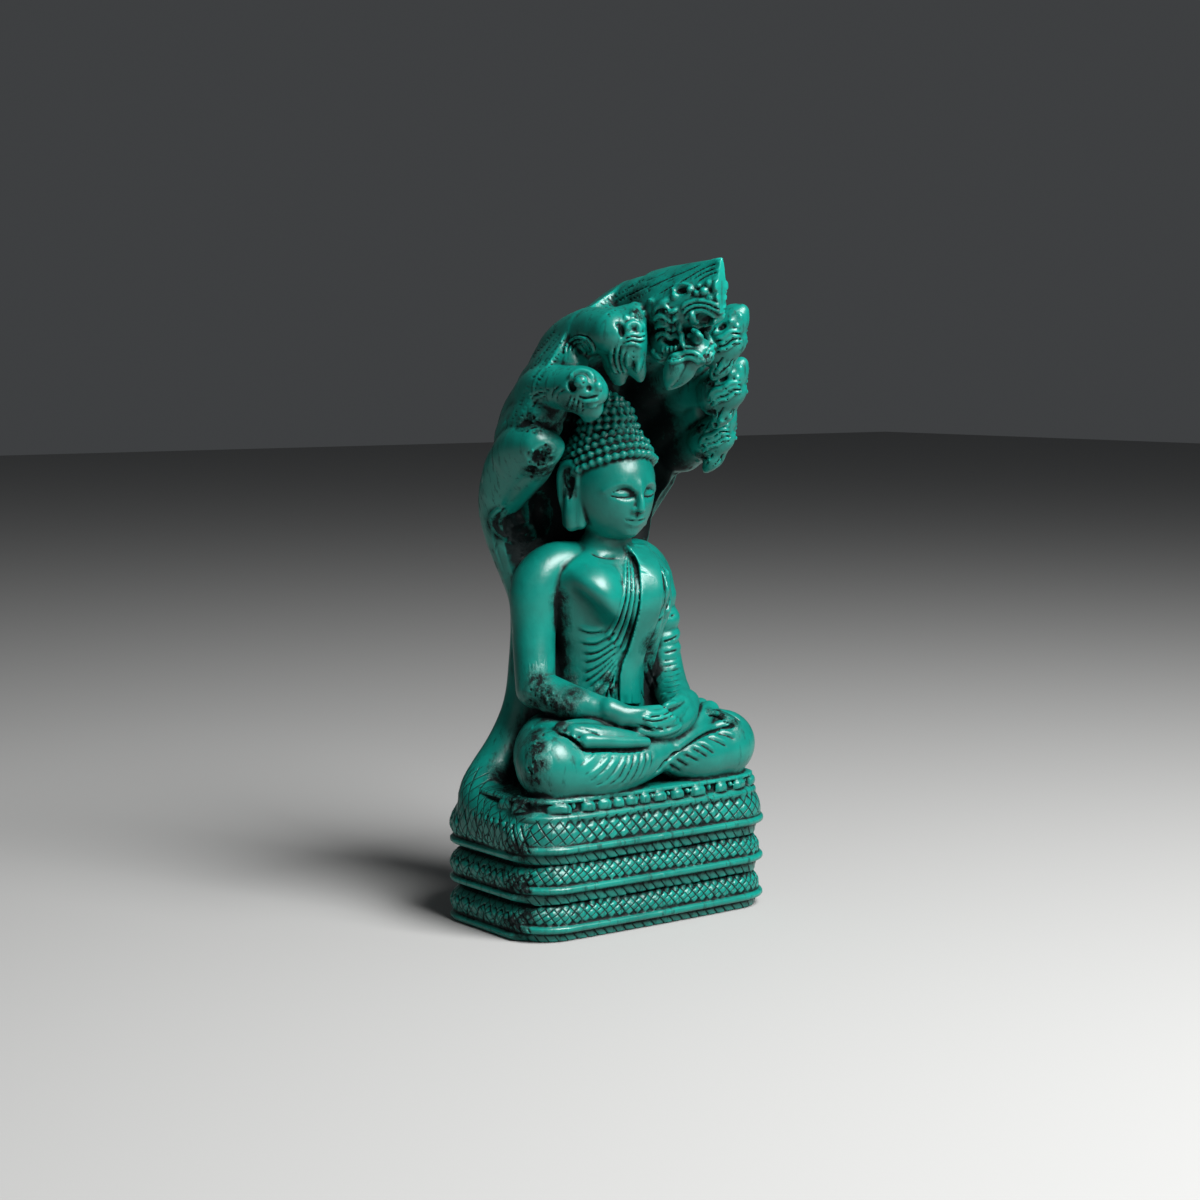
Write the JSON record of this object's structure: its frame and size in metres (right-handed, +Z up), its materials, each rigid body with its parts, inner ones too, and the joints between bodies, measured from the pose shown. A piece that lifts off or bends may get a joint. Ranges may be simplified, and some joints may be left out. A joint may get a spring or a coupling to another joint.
{
  "type": "naga-sheltered seated figure",
  "caption": "Small cast figure seated in meditation on a lotus cushion and a coiled serpent plinth, with the serpent's many-headed hood arching over its head.",
  "frame": {"origin": "middle of the plinth's flat underside", "axes": "+Z up along the figure, -Y the way the figure faces, +X towards the figure's left hand"},
  "size_m": [0.0586, 0.0502, 0.1226],
  "materials": {
    "green_resin": "satin green resin with dark wax in the recesses"
  },
  "bodies": {
    "root": {"figure_casting": "green_resin"}
  },
  "joints": []
}
